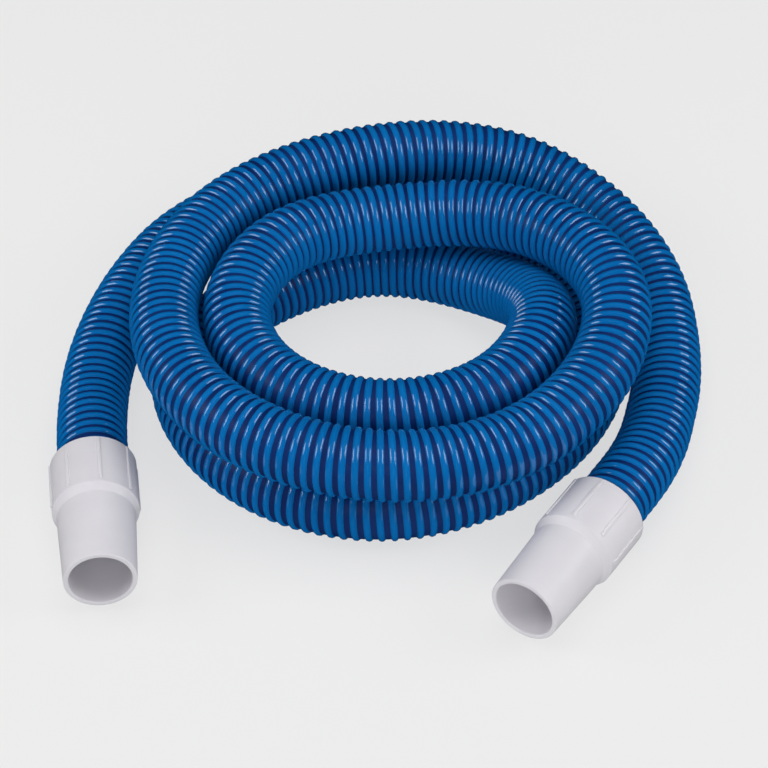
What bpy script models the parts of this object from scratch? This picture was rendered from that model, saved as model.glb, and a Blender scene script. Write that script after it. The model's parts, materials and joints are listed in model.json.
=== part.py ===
"""Coiled pool vacuum hose with a push-on cuff at each end.

Units are metres and +Z is up. The hose lies coiled on the ground at z = 0, with the origin
under the middle of its bounding box. Both ends come forward, towards -Y: the left end
carries a fixed cuff and the right end a cuff that turns freely on a threaded sleeve.
"""
import math

import bmesh
import bpy
import numpy as np
from mathutils import Matrix, Vector

# ---------------------------------------------------------------- hose
HOSE_OD = 0.046
HOSE_WALL = 0.004
TUBE_RESOLUTION = 4
POINT_SPACING = 0.8 * HOSE_OD
CAP_RUN = 0.006
RIM_RUN = 0.006
FACE_GAP = 0.0003

# The hose's route is in hose diameters, from the middle of the coil at ground level.
COIL_CENTRE = (0.003, 0.0223)
LEFT_RIM = (-4.086, -2.265)
LEFT_BEARING = 173.1
LEFT_LEAD = (
    (-4.13, -1.85, 0.60), (-4.17, -1.42, 0.56), (-4.19, -1.00, 0.52), (-4.19, -0.50, 0.50),
    (-4.15, 0.00, 0.50), (-4.07, 0.50, 0.50), (-3.95, 1.00, 0.50), (-3.79, 1.50, 0.50),
    (-3.58, 2.00, 0.50), (-3.31, 2.50, 0.50), (-2.95, 2.96, 0.50), (-2.48, 3.36, 0.50),
    (-1.92, 3.63, 0.50), (-1.32, 3.75, 0.50), (-0.70, 3.73, 0.50), (-0.10, 3.62, 0.50),
    (0.48, 3.46, 0.50), (1.04, 3.28, 0.50), (1.57, 3.04, 0.50),
)
# Radius and height of the hose's centre line at each eighth of a turn, clockwise from above,
# from the bearing of 45 degrees (0 is +Y) up to the last one before the right lead.
BEARING_STEP = 45
LOWER_TURN = (
    (3.28, 0.50), (3.02, 0.50), (2.82, 0.50), (2.90, 0.50),
    (2.94, 0.50), (2.88, 0.50), (2.32, 0.50), (2.21, 0.50),
)
INNER_TURN = (
    (2.20, 0.66), (2.23, 1.34), (2.18, 1.50), (2.08, 1.46),
    (2.10, 1.46), (2.14, 1.47), (2.10, 1.54), (2.06, 1.53),
)
UPPER_TURN = (
    (2.56, 1.74), (3.22, 1.86), (3.26, 1.58), (3.17, 1.54),
    (3.20, 1.60), (3.18, 1.52), (3.30, 1.48), (3.46, 1.60),
)
RIGHT_LEAD = (
    (2.36, 3.43, 1.22), (2.88, 3.12, 1.06), (3.32, 2.71, 0.91), (3.65, 2.23, 0.79),
    (3.88, 1.72, 0.69), (4.01, 1.20, 0.61), (4.06, 0.70, 0.55), (4.07, 0.20, 0.52),
    (4.04, -0.30, 0.50), (3.97, -0.75, 0.50), (3.88, -1.15, 0.50), (3.78, -1.55, 0.52),
    (3.64, -1.95, 0.55), (3.48, -2.30, 0.58), (3.29, -2.64, 0.61),
)
RIGHT_RIM = (2.990, -3.120)
RIGHT_BEARING = 212.8

# ---------------------------------------------------------------- cuffs
HOSE_ENGAGED = 0.0375
SHOULDER_LENGTH = 0.0060
NOZZLE_LENGTH = 0.0530
NOZZLE_WALL = 0.006
MOUTH_WALL = 0.0033
MOUTH_FLARE = 0.0007
STOP_WALL = 0.0009
THREAD_CLEARANCE = 0.0003
RUNNING_GAP = 0.0003
COLLAR_WALL = 0.0025
RIB_COUNT = 8
LEFT_RIB_PHASE = -10.0
RIGHT_RIB_PHASE = 5.0
RIB_WIDTH = 0.0026
RIB_PROUD = 0.0008
RIB_ROOT = 0.0008
RIB_SETBACK = 0.0014
RIB_RUNOUT = 0.003
RIB_EDGE = 0.0003
RIM_EDGE = 0.0012
RIM_CHAMFER = 0.0004
MOUTH_EDGE = 0.0008

# ---------------------------------------------------------------- swivel
SLEEVE_WALL = 0.0016
SLEEVE_INSET = 0.0008
FLANGE_LENGTH = 0.0028
FLANGE_PROUD = 0.0010
SEAL_THICKNESS = 0.0020

# ---------------------------------------------------------------- what follows from them
HOSE_RADIUS = HOSE_OD / 2
BORE_RADIUS = HOSE_RADIUS - HOSE_WALL
HOSE_SEAT_RADIUS = HOSE_RADIUS + THREAD_CLEARANCE
SLEEVE_RADIUS = HOSE_SEAT_RADIUS + SLEEVE_WALL
FLANGE_RADIUS = SLEEVE_RADIUS + FLANGE_PROUD
SWIVEL_BORE_RADIUS = SLEEVE_RADIUS + RUNNING_GAP
COLLAR_RADIUS = SWIVEL_BORE_RADIUS + COLLAR_WALL
NOZZLE_RADIUS = BORE_RADIUS + NOZZLE_WALL
MOUTH_BORE_RADIUS = BORE_RADIUS + MOUTH_FLARE
MOUTH_RADIUS = MOUTH_BORE_RADIUS + MOUTH_WALL
CUFF_AXIS_HEIGHT = COLLAR_RADIUS + RIB_PROUD
# Distances along a cuff's axis are from its rim, where the hose goes in, to its mouth.
FLANGE_START = HOSE_ENGAGED - FLANGE_LENGTH
SEAL_START = HOSE_ENGAGED + FACE_GAP
SEAL_END = SEAL_START + SEAL_THICKNESS
FIXED_STOP = HOSE_ENGAGED + FACE_GAP
SWIVEL_STOP = SEAL_END + FACE_GAP
SHOULDER_START = SWIVEL_STOP + STOP_WALL
SHOULDER_END = SHOULDER_START + SHOULDER_LENGTH
MOUTH = SHOULDER_END + NOZZLE_LENGTH
RIB_END = SHOULDER_START - RIB_RUNOUT

# ---------------------------------------------------------------- mesh fineness
ROUND_SEGMENTS = 48
EDGE_STEPS = 3
SHOULDER_STEPS = 6
RIB_EDGE_SEGMENTS = 1
SHARP_ANGLE = math.radians(35)

# ---------------------------------------------------------------- colours
HOSE_BLUE = (0.010, 0.130, 0.440, 1.0)
CUFF_WHITE = (0.700, 0.670, 0.720, 1.0)
SEAL_BLACK = (0.020, 0.020, 0.022, 1.0)


def clear_scene():
    """Remove every object, so that the script gives the same scene each time."""
    for item in list(bpy.data.objects):
        bpy.data.objects.remove(item, do_unlink=True)


def make_material(name, colour, roughness):
    """Return a Principled BSDF material."""
    material = bpy.data.materials.new(name)
    material.use_nodes = True
    shader = material.node_tree.nodes["Principled BSDF"]
    shader.inputs["Base Color"].default_value = colour
    shader.inputs["Roughness"].default_value = roughness
    shader.inputs["Metallic"].default_value = 0.0
    return material


def heading(bearing):
    """Return the level unit vector of a bearing in degrees, clockwise from +Y."""
    angle = math.radians(bearing)
    return Vector((math.sin(angle), math.cos(angle), 0.0))


def rim_centre(rim):
    """Return the middle of a cuff's rim, from its place in hose diameters."""
    x, y = rim
    return Vector((COIL_CENTRE[0] + x * HOSE_OD, COIL_CENTRE[1] + y * HOSE_OD, CUFF_AXIS_HEIGHT))


# ---------------------------------------------------------------- the hose's route
def route_point(x, y, z):
    """Return a point of the route in metres, from hose diameters."""
    return (COIL_CENTRE[0] + x * HOSE_OD, COIL_CENTRE[1] + y * HOSE_OD, z * HOSE_OD)


def coil_points():
    """Return the route's points round the three turns."""
    points = []
    bearing = BEARING_STEP
    for radius, height in LOWER_TURN + INNER_TURN + UPPER_TURN:
        across = heading(bearing) * radius
        points.append(route_point(across.x, across.y, height))
        bearing += BEARING_STEP
    return points


def natural_spline(knots, values):
    """Return the natural cubic spline's function through the values at the knots."""
    count = len(knots)
    gaps = np.diff(knots)
    slopes = np.diff(values, axis=0) / gaps[:, None]
    matrix = np.eye(count)
    right = np.zeros(values.shape)
    for i in range(1, count - 1):
        matrix[i, i - 1:i + 2] = gaps[i - 1], 2 * (gaps[i - 1] + gaps[i]), gaps[i]
        right[i] = 6 * (slopes[i] - slopes[i - 1])
    curving = np.linalg.solve(matrix, right)

    def position(t):
        i = int(np.clip(np.searchsorted(knots, t) - 1, 0, count - 2))
        before = t - knots[i]
        after = knots[i + 1] - t
        gap = gaps[i]
        bent = (curving[i] * after ** 3 + curving[i + 1] * before ** 3) / (6 * gap)
        left = (values[i] / gap - curving[i] * gap / 6) * after
        right_side = (values[i + 1] / gap - curving[i + 1] * gap / 6) * before
        return bent + left + right_side

    return position


def hose_route():
    """Return the route's function of length along it, and the lengths where it is cut."""
    left_axis = heading(LEFT_BEARING)
    right_axis = heading(RIGHT_BEARING)
    left_rim = rim_centre(LEFT_RIM)
    right_rim = rim_centre(RIGHT_RIM)
    left = [left_rim + left_axis * HOSE_ENGAGED, left_rim - left_axis * RIM_RUN]
    left += [route_point(*point) for point in LEFT_LEAD]
    right = [route_point(*point) for point in RIGHT_LEAD]
    right += [right_rim - right_axis * RIM_RUN, right_rim + right_axis * HOSE_ENGAGED]
    points = np.array([tuple(point) for point in left + coil_points() + right])
    steps = np.linalg.norm(np.diff(points, axis=0), axis=1)
    knots = np.concatenate(([0.0], np.cumsum(steps)))
    smooth = natural_spline(knots[1:-1], points[1:-1])

    def path(t):
        """Return the route's point at t: on the axis inside each cuff, smooth between."""
        between = min(max(t, knots[1]), knots[-2])
        axis = -left_axis if t < between else right_axis
        return smooth(between) + np.array(axis) * (t - between)

    turn = len(LOWER_TURN)
    last_of_left = len(left) - 1
    cuts = [0, last_of_left, last_of_left + turn, last_of_left + 2 * turn,
            last_of_left + 3 * turn, len(points) - 1]
    return path, [knots[i] for i in cuts]


def tangent(path, t):
    """Return the path's unit direction at t."""
    step = 1e-5
    along = path(t + step) - path(t - step)
    return along / np.linalg.norm(along)


def stretch_points(path, start, end, start_run, end_run):
    """Return a stretch's tube points, with a straight run behind each square end face."""
    first = path(start)
    last = path(end)
    inner_start = start + start_run
    inner_end = end - end_run
    count = math.ceil((inner_end - inner_start) / POINT_SPACING)
    points = [first, first + tangent(path, start) * start_run]
    for i in range(1, count):
        points.append(path(inner_start + (inner_end - inner_start) * i / count))
    points += [last - tangent(path, end) * end_run, last]
    return points


def make_tube(name, points, material):
    """Make one stretch of hose as a round tube along the points."""
    curve = bpy.data.curves.new(name, "CURVE")
    curve.dimensions = "3D"
    curve.twist_mode = "Z_UP"
    curve.bevel_depth = HOSE_RADIUS
    curve.bevel_resolution = TUBE_RESOLUTION
    curve.use_fill_caps = True
    spline = curve.splines.new("POLY")
    spline.points.add(len(points) - 1)
    for point, place in zip(spline.points, points):
        point.co = (*place, 1.0)
    curve.materials.append(material)
    tube = bpy.data.objects.new(name, curve)
    bpy.context.collection.objects.link(tube)
    return tube


def make_hose(material):
    """Make the hose as five stretches that meet face to face."""
    path, cuts = hose_route()
    names = ("hose_left_lead", "hose_lower_turn", "hose_inner_turn", "hose_upper_turn",
             "hose_right_lead")
    in_cuff = HOSE_ENGAGED + RIM_RUN
    for i, name in enumerate(names):
        first = i == 0
        last = i == len(names) - 1
        start = cuts[i] + (0.0 if first else FACE_GAP / 2)
        end = cuts[i + 1] - (0.0 if last else FACE_GAP / 2)
        start_run = in_cuff if first else CAP_RUN
        end_run = in_cuff if last else CAP_RUN
        make_tube(name, stretch_points(path, start, end, start_run, end_run), material)


# ---------------------------------------------------------------- turned pieces
def arc(centre_radius, centre_along, radius, start, end):
    """Return (radius, distance along) points round an edge, for angles in degrees."""
    points = []
    for i in range(EDGE_STEPS + 1):
        angle = math.radians(start + (end - start) * i / EDGE_STEPS)
        points.append((centre_radius + radius * math.cos(angle),
                       centre_along + radius * math.sin(angle)))
    return points


def make_turned(name, profile, material):
    """Turn a closed (radius, distance along) outline about its own Z axis."""
    mesh = bpy.data.meshes.new(name)
    bm = bmesh.new()
    verts = [bm.verts.new((radius, 0.0, along)) for radius, along in profile]
    edges = [bm.edges.new((vert, verts[i - 1])) for i, vert in enumerate(verts)]
    bmesh.ops.spin(bm, geom=verts + edges, cent=(0, 0, 0), axis=(0, 0, 1),
                   angle=2 * math.pi, steps=ROUND_SEGMENTS, use_merge=True)
    bmesh.ops.recalc_face_normals(bm, faces=bm.faces)
    bm.to_mesh(mesh)
    bm.free()
    mesh.shade_smooth()
    mesh.set_sharp_from_angle(angle=SHARP_ANGLE)
    mesh.materials.append(material)
    piece = bpy.data.objects.new(name, mesh)
    bpy.context.collection.objects.link(piece)
    return piece


def place_on_axis(piece, rim, bearing):
    """Stand a turned piece's Z axis on a cuff's axis, with its own +Y up."""
    piece.location = rim_centre(rim)
    piece.rotation_euler = heading(bearing).to_track_quat("Z", "Y").to_euler()


def cuff_outside():
    """Return the cuff's outer outline, from the rim to the mouth."""
    collar = arc(COLLAR_RADIUS - RIM_EDGE, RIM_EDGE, RIM_EDGE, -90, 0)
    drop = COLLAR_RADIUS - NOZZLE_RADIUS
    shoulder = []
    for i in range(SHOULDER_STEPS + 1):
        share = i / SHOULDER_STEPS
        shoulder.append((COLLAR_RADIUS - drop * (1 - math.cos(math.pi * share)) / 2,
                         SHOULDER_START + SHOULDER_LENGTH * share))
    mouth = arc(MOUTH_RADIUS - MOUTH_EDGE, MOUTH - MOUTH_EDGE, MOUTH_EDGE, 0, 90)
    return collar + shoulder + mouth


def cuff_bore(stop):
    """Return the nozzle's bore, from the mouth back to the stop behind the hose's end."""
    lip = arc(MOUTH_BORE_RADIUS + MOUTH_EDGE, MOUTH - MOUTH_EDGE, MOUTH_EDGE, 90, 180)
    return lip + [(BORE_RADIUS, stop)]


def rim_opening(radius):
    """Return the chamfered edge where the hose goes into a collar of this bore."""
    return [(radius, RIM_CHAMFER), (radius + RIM_CHAMFER, 0.0)]


def add_grip_ribs(cuff, phase, material):
    """Join the collar's straight grip ribs to the cuff, the first at the phase in degrees."""
    name = cuff.name + "_ribs"
    mesh = bpy.data.meshes.new(name)
    bm = bmesh.new()
    inner = COLLAR_RADIUS - RIB_ROOT
    outer = COLLAR_RADIUS + RIB_PROUD
    block = bmesh.ops.create_cube(bm, size=1.0)["verts"]
    bmesh.ops.scale(bm, vec=(RIB_WIDTH, outer - inner, RIB_END - RIB_SETBACK), verts=block)
    middle = (0, (inner + outer) / 2, (RIB_SETBACK + RIB_END) / 2)
    bmesh.ops.translate(bm, vec=middle, verts=block)
    bmesh.ops.bevel(bm, geom=list(bm.edges), offset=RIB_EDGE, segments=RIB_EDGE_SEGMENTS,
                    affect="EDGES")
    first = list(bm.verts) + list(bm.edges) + list(bm.faces)
    bmesh.ops.rotate(bm, cent=(0, 0, 0), verts=bm.verts,
                     matrix=Matrix.Rotation(math.radians(phase), 3, "Z"))
    for i in range(1, RIB_COUNT):
        copy = bmesh.ops.duplicate(bm, geom=first)["geom"]
        verts = [item for item in copy if isinstance(item, bmesh.types.BMVert)]
        bmesh.ops.rotate(bm, cent=(0, 0, 0), verts=verts,
                         matrix=Matrix.Rotation(2 * math.pi * i / RIB_COUNT, 3, "Z"))
    bm.to_mesh(mesh)
    bm.free()
    mesh.materials.append(material)
    ribs = bpy.data.objects.new(name, mesh)
    bpy.context.collection.objects.link(ribs)
    ribs.parent = cuff
    ribs.hide_render = True
    ribs.display_type = "WIRE"
    join = cuff.modifiers.new("grip ribs", "BOOLEAN")
    join.operation = "UNION"
    join.solver = "EXACT"
    join.object = ribs


def make_fixed_cuff(material):
    """Make the left cuff, screwed and glued straight onto the hose."""
    seat = [(HOSE_SEAT_RADIUS, FIXED_STOP)] + rim_opening(HOSE_SEAT_RADIUS)
    profile = cuff_outside() + cuff_bore(FIXED_STOP) + seat
    cuff = make_turned("fixed_cuff", profile, material)
    add_grip_ribs(cuff, LEFT_RIB_PHASE, material)
    place_on_axis(cuff, LEFT_RIM, LEFT_BEARING)


def make_swivel_cuff(material):
    """Make the right cuff, whose inner groove holds the sleeve's flange."""
    groove = FLANGE_RADIUS + RUNNING_GAP
    groove_start = FLANGE_START - RUNNING_GAP
    pocket = [(groove, SWIVEL_STOP), (groove, groove_start), (SWIVEL_BORE_RADIUS, groove_start)]
    profile = cuff_outside() + cuff_bore(SWIVEL_STOP) + pocket + rim_opening(SWIVEL_BORE_RADIUS)
    cuff = make_turned("swivel_cuff", profile, material)
    add_grip_ribs(cuff, RIGHT_RIB_PHASE, material)
    place_on_axis(cuff, RIGHT_RIM, RIGHT_BEARING)


def make_swivel_sleeve(material):
    """Make the sleeve that screws onto the hose and turns inside the swivel cuff."""
    profile = [
        (HOSE_SEAT_RADIUS, SLEEVE_INSET), (SLEEVE_RADIUS, SLEEVE_INSET),
        (SLEEVE_RADIUS, FLANGE_START), (FLANGE_RADIUS, FLANGE_START),
        (FLANGE_RADIUS, HOSE_ENGAGED), (HOSE_SEAT_RADIUS, HOSE_ENGAGED),
    ]
    sleeve = make_turned("swivel_sleeve", profile, material)
    place_on_axis(sleeve, RIGHT_RIM, RIGHT_BEARING)


def make_swivel_seal(material):
    """Make the flat ring that seals the sleeve's end against the swivel cuff."""
    profile = [
        (BORE_RADIUS, SEAL_START), (FLANGE_RADIUS, SEAL_START),
        (FLANGE_RADIUS, SEAL_END), (BORE_RADIUS, SEAL_END),
    ]
    seal = make_turned("swivel_seal", profile, material)
    place_on_axis(seal, RIGHT_RIM, RIGHT_BEARING)


def main():
    """Build the whole part."""
    clear_scene()
    hose_plastic = make_material("hose_plastic", HOSE_BLUE, 0.30)
    cuff_plastic = make_material("cuff_plastic", CUFF_WHITE, 0.45)
    seal_rubber = make_material("seal_rubber", SEAL_BLACK, 0.80)
    make_hose(hose_plastic)
    make_fixed_cuff(cuff_plastic)
    make_swivel_cuff(cuff_plastic)
    make_swivel_sleeve(cuff_plastic)
    make_swivel_seal(seal_rubber)


main()
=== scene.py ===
# %% [markdown]
# # A coiled pool vacuum hose
# The hose is a ribbed plastic tube, about 3.3 m long, coiled on the floor with a push-on cuff
# at each end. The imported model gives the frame: its nodes, its one joint and its size. Every
# piece made here rides on one of its bodies, so the right cuff can still turn.

# %% Load the frame
import json
import math

import bmesh
import bpy
import numpy as np
from mathutils import Matrix, Vector


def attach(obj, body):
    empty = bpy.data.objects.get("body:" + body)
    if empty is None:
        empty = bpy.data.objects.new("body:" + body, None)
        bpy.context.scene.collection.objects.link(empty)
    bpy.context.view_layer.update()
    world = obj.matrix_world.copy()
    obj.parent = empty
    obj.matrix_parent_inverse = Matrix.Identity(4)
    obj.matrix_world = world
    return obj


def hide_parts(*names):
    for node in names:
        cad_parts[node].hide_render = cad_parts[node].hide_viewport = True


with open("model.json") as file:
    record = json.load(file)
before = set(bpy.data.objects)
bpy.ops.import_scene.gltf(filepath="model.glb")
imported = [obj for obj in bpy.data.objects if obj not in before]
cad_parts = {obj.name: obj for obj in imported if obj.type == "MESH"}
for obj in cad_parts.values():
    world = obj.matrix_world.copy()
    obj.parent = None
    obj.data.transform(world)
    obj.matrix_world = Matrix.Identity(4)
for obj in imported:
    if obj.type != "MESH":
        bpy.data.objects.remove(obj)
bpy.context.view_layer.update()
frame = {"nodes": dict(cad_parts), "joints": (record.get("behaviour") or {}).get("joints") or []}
swivel = frame["joints"][0]

# %% [markdown]
# ## Camera
# The camera stands in front of the coil and looks down at it. A long lens keeps the two cuffs
# nearly the same size. It aims a little in front of the coil's middle and below it, so that the
# coil and both cuffs fill the view.

# %% Place the camera
HOSE_OD = 0.046
COIL_MIDDLE = (0.003, 0.0223)
COIL_CENTRE = Vector((*COIL_MIDDLE, HOSE_OD))
CAMERA_ELEVATION = math.radians(42.07)
CAMERA_DISTANCE = 1.890
CAMERA_LENS_MM = 133.7
CAMERA_AIM = Vector((0.0011, 0.0017, 0.0232))


def add_camera():
    """Add the camera at its distance and elevation from the middle of the coil."""
    back = Vector((0.0, -math.cos(CAMERA_ELEVATION), math.sin(CAMERA_ELEVATION)))
    data = bpy.data.cameras.new("camera")
    data.lens = CAMERA_LENS_MM
    data.sensor_width = 36.0
    camera = bpy.data.objects.new("camera", data)
    camera.location = COIL_CENTRE + back * CAMERA_DISTANCE
    camera.rotation_euler = (CAMERA_AIM - camera.location).to_track_quat("-Z", "Y").to_euler()
    bpy.context.collection.objects.link(camera)
    bpy.context.scene.camera = camera
    return camera


camera = add_camera()
print("camera at", tuple(round(v, 3) for v in camera.location))

# %% [markdown]
# ## The hose's route
# A hose this thick lies where its own stiffness puts it. It comes out of the left cuff, goes
# round the back on the floor, closes in as the coil's lower turn, climbs to the inner ring,
# opens out to the upper ring and drops down its outside to the right cuff. The route is the one
# that the solid model follows: points given for the two leads, in hose diameters from
# the middle of the coil, and a radius and a height at each eighth of a turn for the coil. One
# natural cubic spline goes through them all, so there is no kink where a turn begins.

# %% The route's own points
HOSE_ENGAGED = 0.0375
RIM_RUN = 0.006
AXIS_HEIGHT = swivel["pos_m"][2]
LEFT_RIM = (-4.086, -2.265)
LEFT_BEARING = 173.1
LEFT_LEAD = (
    (-4.13, -1.85, 0.60), (-4.17, -1.42, 0.56), (-4.19, -1.00, 0.52), (-4.19, -0.50, 0.50),
    (-4.15, 0.00, 0.50), (-4.07, 0.50, 0.50), (-3.95, 1.00, 0.50), (-3.79, 1.50, 0.50),
    (-3.58, 2.00, 0.50), (-3.31, 2.50, 0.50), (-2.95, 2.96, 0.50), (-2.48, 3.36, 0.50),
    (-1.92, 3.63, 0.50), (-1.32, 3.75, 0.50), (-0.70, 3.73, 0.50), (-0.10, 3.62, 0.50),
    (0.48, 3.46, 0.50), (1.04, 3.28, 0.50), (1.57, 3.04, 0.50),
)
BEARING_STEP = 45
# The lower turn, the inner ring and the upper ring, in two rows each.
COIL_TURNS = (
    (3.28, 0.50), (3.02, 0.50), (2.82, 0.50), (2.90, 0.50),
    (2.94, 0.50), (2.88, 0.50), (2.32, 0.50), (2.21, 0.50),
    (2.20, 0.66), (2.23, 1.34), (2.18, 1.50), (2.08, 1.46),
    (2.10, 1.46), (2.14, 1.47), (2.10, 1.54), (2.06, 1.53),
    (2.56, 1.74), (3.22, 1.86), (3.26, 1.58), (3.17, 1.54),
    (3.20, 1.60), (3.18, 1.52), (3.30, 1.48), (3.46, 1.60),
)
RIGHT_LEAD = (
    (2.36, 3.43, 1.22), (2.88, 3.12, 1.06), (3.32, 2.71, 0.91), (3.65, 2.23, 0.79),
    (3.88, 1.72, 0.69), (4.01, 1.20, 0.61), (4.06, 0.70, 0.55), (4.07, 0.20, 0.52),
    (4.04, -0.30, 0.50), (3.97, -0.75, 0.50), (3.88, -1.15, 0.50), (3.78, -1.55, 0.52),
    (3.64, -1.95, 0.55), (3.48, -2.30, 0.58), (3.29, -2.64, 0.61),
)
RIGHT_RIM = (2.990, -3.120)
RIGHT_BEARING = 212.8


def heading(bearing):
    """Return the level unit vector of a bearing in degrees, clockwise from +Y."""
    angle = math.radians(bearing)
    return np.array((math.sin(angle), math.cos(angle), 0.0))


def on_floor(x, y, height):
    """Return a point in metres, from hose diameters across and a height in metres."""
    return np.array((COIL_MIDDLE[0] + x * HOSE_OD, COIL_MIDDLE[1] + y * HOSE_OD, height))


def coil_points():
    """Return the coil's points, an eighth of a turn apart."""
    points = []
    for i, (radius, height) in enumerate(COIL_TURNS):
        across = heading(BEARING_STEP * (i + 1)) * radius
        points.append(on_floor(across[0], across[1], height * HOSE_OD))
    return points


left_rim = on_floor(*LEFT_RIM, AXIS_HEIGHT)
right_rim = on_floor(*RIGHT_RIM, AXIS_HEIGHT)
left_axis = heading(LEFT_BEARING)
right_axis = heading(RIGHT_BEARING)
left_points = [left_rim - left_axis * RIM_RUN]
left_points += [on_floor(x, y, z * HOSE_OD) for x, y, z in LEFT_LEAD]
right_points = [on_floor(x, y, z * HOSE_OD) for x, y, z in RIGHT_LEAD]
right_points += [right_rim - right_axis * RIM_RUN]
route = np.array(left_points + coil_points() + right_points)
print("route points:", len(route))

# %% [markdown]
# Between its points the route is a natural cubic spline, and inside each cuff it is straight.
# Sampling it every 2 mm gives a table of places. Each place also gets two directions across
# the hose, carried along from the one before with as little twist as possible, so that a ring
# or a winding made on them turns smoothly.

# %% Smooth the route and carry a frame along it
SAMPLE_STEP = 0.002


def natural_spline(knots, values):
    """Return the natural cubic spline's function through the values at the knots."""
    count = len(knots)
    gaps = np.diff(knots)
    slopes = np.diff(values, axis=0) / gaps[:, None]
    matrix = np.eye(count)
    right = np.zeros(values.shape)
    for i in range(1, count - 1):
        matrix[i, i - 1:i + 2] = gaps[i - 1], 2 * (gaps[i - 1] + gaps[i]), gaps[i]
        right[i] = 6 * (slopes[i] - slopes[i - 1])
    curving = np.linalg.solve(matrix, right)

    def position(t):
        i = int(np.clip(np.searchsorted(knots, t) - 1, 0, count - 2))
        before = t - knots[i]
        after = knots[i + 1] - t
        gap = gaps[i]
        bent = (curving[i] * after ** 3 + curving[i + 1] * before ** 3) / (6 * gap)
        left = (values[i] / gap - curving[i] * gap / 6) * after
        right_side = (values[i + 1] / gap - curving[i + 1] * gap / 6) * before
        return bent + left + right_side

    return position


def sample_route():
    """Return places along the whole hose, from its end in one cuff to its end in the other."""
    steps = np.linalg.norm(np.diff(route, axis=0), axis=1)
    knots = np.concatenate(([0.0], np.cumsum(steps)))
    smooth = natural_spline(knots, route)
    count = math.ceil(knots[-1] / SAMPLE_STEP)
    middle = [smooth(t) for t in np.linspace(0.0, knots[-1], count)]
    in_cuff = np.linspace(1.0, 0.0, math.ceil((HOSE_ENGAGED + RIM_RUN) / SAMPLE_STEP))[:-1]
    left_end = left_rim + left_axis * HOSE_ENGAGED
    right_end = right_rim + right_axis * HOSE_ENGAGED
    start = [middle[0] + (left_end - middle[0]) * share for share in in_cuff]
    finish = [middle[-1] + (right_end - middle[-1]) * share for share in in_cuff[::-1]]
    return np.array(start + middle + finish)


def carry_frame(places):
    """Return the unit direction along the hose and two across it, at each place."""
    along = np.gradient(places, axis=0)
    along /= np.linalg.norm(along, axis=1)[:, None]
    side = np.zeros(places.shape)
    across = np.cross(along[0], (0.0, 0.0, 1.0))
    for i, direction in enumerate(along):
        across = across - direction * np.dot(across, direction)
        across /= np.linalg.norm(across)
        side[i] = across
    return along, side, np.cross(along, side)


hose_line = sample_route()
hose_along, hose_side, hose_up = carry_frame(hose_line)
line_lengths = np.concatenate(([0.0], np.cumsum(
    np.linalg.norm(np.diff(hose_line, axis=0), axis=1))))
hose_length = float(line_lengths[-1])
print("hose length:", round(hose_length, 3), "m in", len(hose_line), "places")

# %% [markdown]
# ## The hose's wall
# The wall between the ribs is thin and smooth. It is made the way a tube is drawn: a circle
# is extruded from place to place along the route. A Solidify modifier then gives it its
# wall, inwards, so that the bore is open at both ends.

# %% Draw the wall along the route
RIB_DIAMETER = 0.0052
WALL_OUTER_RADIUS = 0.0215
WALL_THICKNESS = 0.0013
WALL_SIDES = 40
WALL_EVERY = 2


def place_matrix(i):
    """Return the matrix that puts a flat circle across the hose at place i."""
    columns = (hose_side[i], hose_up[i], hose_along[i])
    turn = Matrix([[column[row] for column in columns] for row in range(3)]).to_4x4()
    return Matrix.Translation(Vector(hose_line[i])) @ turn


def finish_piece(name, bm):
    """Turn a bmesh into a smooth-shaded object at the origin."""
    bmesh.ops.recalc_face_normals(bm, faces=bm.faces)
    mesh = bpy.data.meshes.new(name)
    bm.to_mesh(mesh)
    bm.free()
    mesh.shade_smooth()
    piece = bpy.data.objects.new(name, mesh)
    bpy.context.collection.objects.link(piece)
    return piece


def draw_wall():
    """Extrude a circle along the route."""
    places = list(range(0, len(hose_line) - 1, WALL_EVERY)) + [len(hose_line) - 1]
    bm = bmesh.new()
    ring = bmesh.ops.create_circle(bm, segments=WALL_SIDES, radius=WALL_OUTER_RADIUS,
                                   matrix=place_matrix(places[0]))
    edges = list({edge for vert in ring["verts"] for edge in vert.link_edges})
    for before, here in zip(places, places[1:]):
        new = bmesh.ops.extrude_edge_only(bm, edges=edges)["geom"]
        verts = [item for item in new if isinstance(item, bmesh.types.BMVert)]
        edges = [item for item in new if isinstance(item, bmesh.types.BMEdge)
                 and all(vert in set(verts) for vert in item.verts)]
        step = place_matrix(here) @ place_matrix(before).inverted()
        bmesh.ops.transform(bm, matrix=step, verts=verts)
    return finish_piece("hose_wall", bm)


hose_wall = draw_wall()
shell = hose_wall.modifiers.new("wall", "SOLIDIFY")
shell.thickness = WALL_THICKNESS
shell.offset = -1.0
print("wall faces:", len(hose_wall.data.polygons))

# %% [markdown]
# ## The ribs
# The rib is one round bead of stiffer plastic, wound round the wall in a long helix: that is
# what keeps the hose from collapsing under suction. It is made in five stretches, each of them
# a curve with a round bevel. The points walk round the hose at an even pitch, about 32 to a
# turn, which is enough for the bead to look smooth.

# %% Wind the rib
RIB_PITCH = 0.0072
RIB_STEPS = 32
RIB_BEVEL_RESOLUTION = 3
STRETCHES = ("left_lead", "lower_turn", "inner_turn", "upper_turn", "right_lead")
RIB_END_MARGIN = 0.0008


def helix_points(start, end):
    """Return the rib's points between two lengths along the hose."""
    count = math.ceil((end - start) / RIB_PITCH * RIB_STEPS)
    lengths = np.linspace(start, end, count + 1)
    centre, side, up = (
        np.stack([np.interp(lengths, line_lengths, table[:, axis]) for axis in range(3)], axis=1)
        for table in (hose_line, hose_side, hose_up))
    turn = (2 * math.pi * lengths / RIB_PITCH)[:, None]
    radius = HOSE_OD / 2 - RIB_DIAMETER / 2
    return centre + radius * (np.cos(turn) * side + np.sin(turn) * up)


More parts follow.
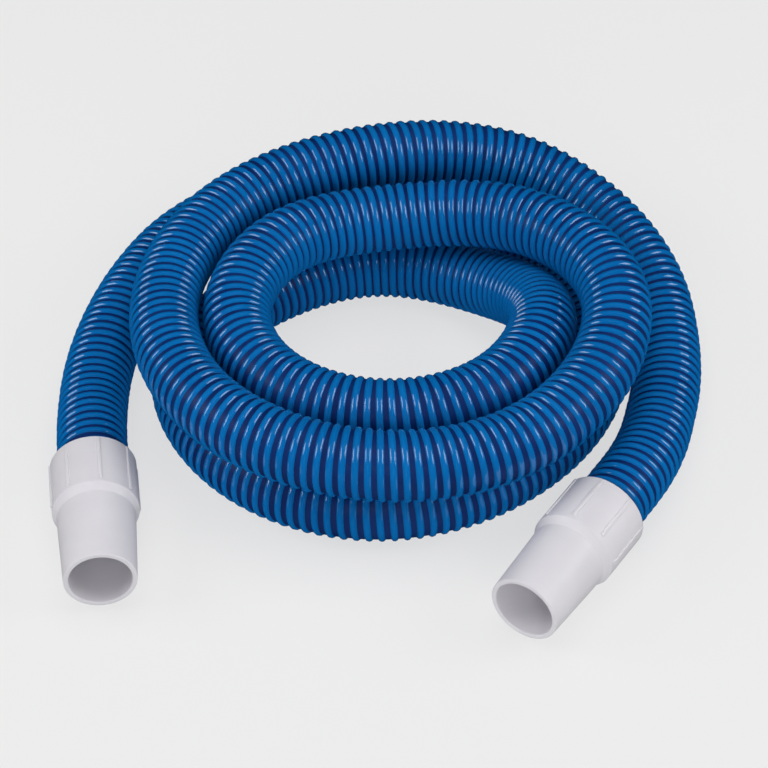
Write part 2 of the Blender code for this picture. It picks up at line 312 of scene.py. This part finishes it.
def wind_rib(name, points):
    """Make one stretch of the rib as a bevelled curve."""
    curve = bpy.data.curves.new(name, "CURVE")
    curve.dimensions = "3D"
    curve.bevel_depth = RIB_DIAMETER / 2
    curve.bevel_resolution = RIB_BEVEL_RESOLUTION
    curve.use_fill_caps = True
    spline = curve.splines.new("POLY")
    spline.points.add(len(points) - 1)
    flat = np.column_stack((points, np.ones(len(points)))).ravel()
    spline.points.foreach_set("co", flat)
    rib = bpy.data.objects.new(name, curve)
    bpy.context.collection.objects.link(rib)
    return rib


rib_cuts = np.linspace(RIB_END_MARGIN + RIB_DIAMETER / 2,
                       hose_length - RIB_END_MARGIN - RIB_DIAMETER / 2, len(STRETCHES) + 1)
ribs = [wind_rib("hose_rib_" + name, helix_points(start, end))
        for name, start, end in zip(STRETCHES, rib_cuts, rib_cuts[1:])]
print("rib turns:", round(hose_length / RIB_PITCH))

# %% [markdown]
# ## The cuffs
# Each cuff is one moulded piece: a collar over the hose's end, a rounded shoulder and a
# slightly tapered nozzle. Being round, it is turned from its outline with a full spin. The
# outline's corners are arcs, because moulded plastic has no sharp edge and every real one
# catches a line of light.

# %% Outline helpers
ROUND_SEGMENTS = 128
EDGE_STEPS = 5
SMOOTH_ANGLE = math.radians(40)


def arc(centre_radius, centre_along, radius, start, end):
    """Return (radius, distance along) points round an edge, for angles in degrees."""
    shares = [i / EDGE_STEPS for i in range(EDGE_STEPS + 1)]
    angles = [math.radians(start + (end - start) * share) for share in shares]
    return [(centre_radius + radius * math.cos(a), centre_along + radius * math.sin(a))
            for a in angles]


def axis_matrix(rim, axis):
    """Return the matrix that puts +Z on a cuff's axis and +Y upwards, from its rim."""
    turn = Vector(axis).to_track_quat("Z", "Y").to_matrix().to_4x4()
    return Matrix.Translation(Vector(rim)) @ turn


def spin_outline(outline):
    """Return a bmesh of a closed (radius, distance along) outline turned about +Z."""
    bm = bmesh.new()
    verts = [bm.verts.new((radius, 0.0, along)) for radius, along in outline]
    edges = [bm.edges.new((vert, verts[i - 1])) for i, vert in enumerate(verts)]
    bmesh.ops.spin(bm, geom=verts + edges, cent=(0, 0, 0), axis=(0, 0, 1),
                   angle=2 * math.pi, steps=ROUND_SEGMENTS, use_merge=True)
    bmesh.ops.remove_doubles(bm, verts=bm.verts, dist=1e-6)
    bmesh.ops.recalc_face_normals(bm, faces=bm.faces)
    return bm


print("outline helpers ready, rim at", [round(v, 4) for v in right_rim])

# %% [markdown]
# The two cuffs share their outside. The numbers are the solid model's: the collar covers the
# hose with room for the threaded sleeve, and the nozzle's mouth takes a 38 mm spigot.

# %% The cuff's outline
COLLAR_RADIUS = 0.0277
NOZZLE_RADIUS = 0.0250
MOUTH_RADIUS = 0.0230
MOUTH_BORE_RADIUS = 0.0197
BORE_RADIUS = 0.0190
SEAT_RADIUS = 0.0233
SWIVEL_BORE_RADIUS = 0.0252
GROOVE_RADIUS = 0.0262
GROOVE_START = 0.0344
FIXED_STOP = 0.0378
SWIVEL_STOP = 0.0401
SHOULDER_START = 0.0410
SHOULDER_END = 0.0470
MOUTH = 0.1000
RIM_EDGE = 0.0012
COLLAR_EDGE = 0.0016
MOUTH_EDGE = 0.0009
RIM_CHAMFER = 0.0004


def cuff_outline(stop, seat):
    """Return a cuff's closed outline: outside to the mouth, and back along its bore."""
    collar = arc(COLLAR_RADIUS - RIM_EDGE, RIM_EDGE, RIM_EDGE, -90, 0)
    collar += arc(COLLAR_RADIUS - COLLAR_EDGE, SHOULDER_START - COLLAR_EDGE / 2, COLLAR_EDGE, 0, 60)
    nozzle = arc(NOZZLE_RADIUS + COLLAR_EDGE, SHOULDER_END, COLLAR_EDGE, -135, -180)
    mouth = arc(MOUTH_RADIUS - MOUTH_EDGE, MOUTH - MOUTH_EDGE, MOUTH_EDGE, 0, 90)
    lip = arc(MOUTH_BORE_RADIUS + MOUTH_EDGE, MOUTH - MOUTH_EDGE, MOUTH_EDGE, 90, 180)
    return collar + nozzle + mouth + lip + [(BORE_RADIUS, stop)] + seat


fixed_seat = [(SEAT_RADIUS, FIXED_STOP), (SEAT_RADIUS, RIM_CHAMFER),
              (SEAT_RADIUS + RIM_CHAMFER, 0.0)]
swivel_seat = [(GROOVE_RADIUS, SWIVEL_STOP), (GROOVE_RADIUS, GROOVE_START),
               (SWIVEL_BORE_RADIUS, GROOVE_START), (SWIVEL_BORE_RADIUS, RIM_CHAMFER),
               (SWIVEL_BORE_RADIUS + RIM_CHAMFER, 0.0)]
print("outline points:", len(cuff_outline(FIXED_STOP, fixed_seat)))

# %% [markdown]
# Eight straight ribs stand on the collar for grip. A rib is a block with rounded edges, and a
# Boolean union makes it one body with the collar, as it is in the mould.

# %% Grip ribs
GRIP_COUNT = 8
FIXED_GRIP_PHASE = math.radians(-10.0)
SWIVEL_GRIP_PHASE = math.radians(5.0)
GRIP_WIDTH = 0.0026
GRIP_PROUD = 0.0008
GRIP_ROOT = 0.0008
GRIP_START = 0.0014
GRIP_END = 0.0380
GRIP_EDGE = 0.0006
GRIP_EDGE_SEGMENTS = 3


def grip_blocks(phase):
    """Return an object that holds the collar's grip ribs, about +Z, the first at the phase."""
    inner = COLLAR_RADIUS - GRIP_ROOT
    outer = COLLAR_RADIUS + GRIP_PROUD
    bm = bmesh.new()
    for i in range(GRIP_COUNT):
        block = bmesh.ops.create_cube(bm, size=1.0)["verts"]
        bmesh.ops.scale(bm, vec=(GRIP_WIDTH, outer - inner, GRIP_END - GRIP_START), verts=block)
        middle = (0, (inner + outer) / 2, (GRIP_START + GRIP_END) / 2)
        bmesh.ops.translate(bm, vec=middle, verts=block)
        edges = list({edge for vert in block for edge in vert.link_edges})
        new = bmesh.ops.bevel(bm, geom=edges, offset=GRIP_EDGE, segments=GRIP_EDGE_SEGMENTS,
                              affect="EDGES", profile=0.5, material=-1)
        verts = list({vert for face in new["faces"] for vert in face.verts})
        turn = Matrix.Rotation(phase + 2 * math.pi * i / GRIP_COUNT, 3, "Z")
        bmesh.ops.rotate(bm, cent=(0, 0, 0), matrix=turn, verts=verts)
    return finish_piece("grip_blocks", bm)


def mould_cuff(name, outline, phase, rim, axis):
    """Make a cuff: the turned body with its grip ribs, in place on its axis."""
    cuff = finish_piece(name, spin_outline(outline))
    blocks = grip_blocks(phase)
    join = cuff.modifiers.new("grip", "BOOLEAN")
    join.operation = "UNION"
    join.solver = "EXACT"
    join.object = blocks
    depsgraph = bpy.context.evaluated_depsgraph_get()
    joined = bpy.data.meshes.new_from_object(cuff.evaluated_get(depsgraph))
    cuff.modifiers.clear()
    cuff.data = joined
    bpy.data.objects.remove(blocks, do_unlink=True)
    joined.transform(axis_matrix(rim, axis))
    joined.shade_smooth()
    joined.set_sharp_from_angle(angle=SMOOTH_ANGLE)
    return cuff


fixed_cuff = mould_cuff("fixed_cuff_shell", cuff_outline(FIXED_STOP, fixed_seat),
                        FIXED_GRIP_PHASE, left_rim, left_axis)
swivel_cuff = mould_cuff("swivel_cuff_shell", cuff_outline(SWIVEL_STOP, swivel_seat),
                         SWIVEL_GRIP_PHASE, right_rim, right_axis)
print("cuff faces:", len(fixed_cuff.data.polygons), len(swivel_cuff.data.polygons))

# %% [markdown]
# ## Materials
# Three plastics and a rubber. Each of them varies a little in colour and roughness from place
# to place, because no moulded or blown part is perfectly even, and has a fine bump.

# %% Material helpers
# The middle of the noise's range carries the whole change of colour.
BLEND_START = 0.35
BLEND_END = 0.65


def new_material(name):
    """Return a node material and its Principled shader."""
    material = bpy.data.materials.new(name)
    material.use_nodes = True
    return material, material.node_tree.nodes["Principled BSDF"]


def add_noise(material, scale, detail):
    """Add a noise pattern on Object coordinates and return its node."""
    nodes = material.node_tree.nodes
    links = material.node_tree.links
    place = nodes.new("ShaderNodeTexCoord")
    noise = nodes.new("ShaderNodeTexNoise")
    noise.inputs["Scale"].default_value = scale
    noise.inputs["Detail"].default_value = detail
    links.new(place.outputs["Object"], noise.inputs["Vector"])
    return noise


def vary_colour(material, shader, noise, darker, lighter):
    """Let the base colour run between two colours with the noise."""
    nodes = material.node_tree.nodes
    links = material.node_tree.links
    ramp = nodes.new("ShaderNodeValToRGB")
    ramp.color_ramp.elements[0].position = BLEND_START
    ramp.color_ramp.elements[0].color = (*darker, 1.0)
    ramp.color_ramp.elements[1].position = BLEND_END
    ramp.color_ramp.elements[1].color = (*lighter, 1.0)
    links.new(noise.outputs["Fac"], ramp.inputs["Fac"])
    links.new(ramp.outputs["Color"], shader.inputs["Base Color"])


def vary_roughness(material, shader, noise, low, high):
    """Let the roughness run between two values with the noise."""
    nodes = material.node_tree.nodes
    links = material.node_tree.links
    span = nodes.new("ShaderNodeMapRange")
    span.inputs["To Min"].default_value = low
    span.inputs["To Max"].default_value = high
    links.new(noise.outputs["Fac"], span.inputs["Value"])
    links.new(span.outputs["Result"], shader.inputs["Roughness"])


def add_bump(material, shader, noise, strength, distance):
    """Raise the surface a little with the noise."""
    nodes = material.node_tree.nodes
    links = material.node_tree.links
    bump = nodes.new("ShaderNodeBump")
    bump.inputs["Strength"].default_value = strength
    bump.inputs["Distance"].default_value = distance
    links.new(noise.outputs["Fac"], bump.inputs["Height"])
    links.new(bump.outputs["Normal"], shader.inputs["Normal"])


print("material helpers ready")

# %% [markdown]
# The rib is a clean bright blue with a gloss. The wall between the ribs is the same plastic,
# painted a darker blue as shade in the grooves between the ribs. The cuffs are a satin off-white.

# %% Make the materials


def rib_plastic():
    """Glossy blue plastic of the wound rib."""
    material, shader = new_material("rib_plastic")
    vary_colour(material, shader, add_noise(material, 18.0, 3.0),
                (0.0020, 0.128, 0.400), (0.0030, 0.150, 0.455))
    vary_roughness(material, shader, add_noise(material, 60.0, 2.0), 0.06, 0.10)
    add_bump(material, shader, add_noise(material, 500.0, 2.0), 0.03, 0.0001)
    shader.inputs["Specular IOR Level"].default_value = 0.80
    return material


def painted_shade_wall_plastic():
    """Blue plastic of the wall between the ribs, painted darker as shade in the grooves."""
    material, shader = new_material("painted_shade_wall_plastic")
    # The wall's blue is painted darker than the rib's: painted shade in the grooves between the
    # ribs.
    vary_colour(material, shader, add_noise(material, 24.0, 3.0),
                (0.0025, 0.018, 0.105), (0.0045, 0.028, 0.140))
    vary_roughness(material, shader, add_noise(material, 80.0, 2.0), 0.35, 0.48)
    add_bump(material, shader, add_noise(material, 700.0, 2.0), 0.15, 0.0002)
    shader.inputs["Specular IOR Level"].default_value = 0.14
    return material


def cuff_plastic():
    """Satin off-white moulded plastic of the cuffs."""
    material, shader = new_material("cuff_plastic")
    vary_colour(material, shader, add_noise(material, 30.0, 4.0),
                (0.665, 0.650, 0.690), (0.700, 0.685, 0.725))
    vary_roughness(material, shader, add_noise(material, 90.0, 3.0), 0.38, 0.50)
    add_bump(material, shader, add_noise(material, 1400.0, 3.0), 0.12, 0.0002)
    shader.inputs["Specular IOR Level"].default_value = 0.45
    return material


def seal_rubber():
    """Black rubber of the seal."""
    material, shader = new_material("seal_rubber")
    vary_colour(material, shader, add_noise(material, 200.0, 3.0),
                (0.012, 0.012, 0.013), (0.025, 0.025, 0.027))
    vary_roughness(material, shader, add_noise(material, 300.0, 2.0), 0.65, 0.85)
    add_bump(material, shader, add_noise(material, 1500.0, 3.0), 0.2, 0.0002)
    return material


def wear(piece, material):
    """Give a piece its only material."""
    piece.data.materials.clear()
    piece.data.materials.append(material)


rib_material = rib_plastic()
painted_shade_wall_material = painted_shade_wall_plastic()
cuff_material = cuff_plastic()
seal_material = seal_rubber()
wear(hose_wall, painted_shade_wall_material)
for rib in ribs:
    wear(rib, rib_material)
for piece in (fixed_cuff, swivel_cuff, frame["nodes"]["swivel_sleeve"]):
    wear(piece, cuff_material)
wear(frame["nodes"]["swivel_seal"], seal_material)
print("materials:", [material.name for material in bpy.data.materials if material.users])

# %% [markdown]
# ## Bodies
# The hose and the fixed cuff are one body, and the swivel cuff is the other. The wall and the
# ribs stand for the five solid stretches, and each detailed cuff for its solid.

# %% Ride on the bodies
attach(hose_wall, "hose")
for rib in ribs:
    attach(rib, "hose")
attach(fixed_cuff, "hose")
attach(swivel_cuff, "swivel_cuff")
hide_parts(*("hose_" + name for name in STRETCHES))
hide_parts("fixed_cuff")
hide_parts("swivel_cuff")
print("cord:", round(hose_length, 3), "m of", HOSE_OD * 1000, "mm hose")

# %% [markdown]
# ## Floor and light
# The floor is plain and pale, with an even glow of its own that keeps it bright round the coil.
# A glowing dome closes a low view behind it. Two softboxes, one to each side, give each rib its
# pair of thin highlights. A fill from above and one from the front bring out the colours. The
# floor, the dome, the fills and the sky are hidden from the gloss, so that it shows only the two
# softboxes and the hose itself.

# %% Light the scene
FLOOR_SIZE = 40.0
FLOOR_COLOUR = (0.19, 0.19, 0.19)
FLOOR_GLOW = 0.65
BACKDROP_RADIUS = 18.0
BACKDROP_SEGMENTS = 64
BACKDROP_RINGS = 32
BACKDROP_COLOUR = (0.0, 0.0, 0.0)
BACKDROP_GLOW = 0.68
PAPER_ROUGHNESS = 0.9
SKY_STRENGTH = 0.14
WHITE = (1.0, 1.0, 1.0, 1.0)
# Each light's place and size are in metres and its power in watts.
SOFTBOX_PLACE = (1.48, -0.15, 1.04)
SOFTBOX_SIZE = (1.00, 0.80)
SOFTBOX_POWER = 9.6
TOP_FILL_PLACE = (0.0, 0.0, 2.4)
TOP_FILL_SIZE = (2.0, 2.0)
TOP_FILL_POWER = 26.0
FRONT_FILL_PLACE = (0.0, -1.9, 0.90)
FRONT_FILL_SIZE = (1.2, 1.0)
FRONT_FILL_POWER = 16.0


def studio_paper(name, colour, glow):
    """Return a matt material of a colour, with an even white glow of its own."""
    material, shader = new_material(name)
    shader.inputs["Base Color"].default_value = (*colour, 1.0)
    shader.inputs["Roughness"].default_value = PAPER_ROUGHNESS
    shader.inputs["Specular IOR Level"].default_value = 0.0
    shader.inputs["Emission Color"].default_value = WHITE
    shader.inputs["Emission Strength"].default_value = glow
    return material


def add_floor():
    """Add the pale floor, far wider than any view of the coil."""
    bm = bmesh.new()
    bmesh.ops.create_grid(bm, x_segments=1, y_segments=1, size=FLOOR_SIZE / 2)
    floor = finish_piece("floor", bm)
    wear(floor, studio_paper("floor_paper", FLOOR_COLOUR, FLOOR_GLOW))
    floor.visible_glossy = False


def add_backdrop():
    """Add a dome that closes a low view behind the floor and takes no part in the light."""
    bm = bmesh.new()
    bmesh.ops.create_uvsphere(bm, u_segments=BACKDROP_SEGMENTS, v_segments=BACKDROP_RINGS,
                              radius=BACKDROP_RADIUS)
    dome = finish_piece("backdrop", bm)
    wear(dome, studio_paper("backdrop_paper", BACKDROP_COLOUR, BACKDROP_GLOW))
    dome.visible_diffuse = False
    dome.visible_glossy = False
    dome.visible_shadow = False


def add_light(name, place, size, power, in_gloss):
    """Add an area light, of a width and a height, that looks at the coil."""
    data = bpy.data.lights.new(name, "AREA")
    data.shape = "RECTANGLE"
    data.size, data.size_y = size
    data.energy = power
    light = bpy.data.objects.new(name, data)
    light.location = place
    light.rotation_euler = (COIL_CENTRE - Vector(place)).to_track_quat("-Z", "Y").to_euler()
    light.visible_glossy = in_gloss
    bpy.context.collection.objects.link(light)


def add_sky():
    """Fill the scene with soft even light that doesn't show in the gloss."""
    world = bpy.data.worlds.new("studio")
    world.use_nodes = True
    background = world.node_tree.nodes["Background"]
    background.inputs["Color"].default_value = WHITE
    background.inputs["Strength"].default_value = SKY_STRENGTH
    world.cycles_visibility.glossy = False
    bpy.context.scene.world = world


add_floor()
add_backdrop()
add_sky()
across, forward, height = SOFTBOX_PLACE
add_light("left_softbox", (-across, forward, height), SOFTBOX_SIZE, SOFTBOX_POWER, True)
add_light("right_softbox", (across, forward, height), SOFTBOX_SIZE, SOFTBOX_POWER, True)
add_light("top_fill", TOP_FILL_PLACE, TOP_FILL_SIZE, TOP_FILL_POWER, False)
add_light("front_fill", FRONT_FILL_PLACE, FRONT_FILL_SIZE, FRONT_FILL_POWER, False)
bpy.context.scene.view_settings.view_transform = "Standard"
print("lights:", [light.name for light in bpy.data.lights])
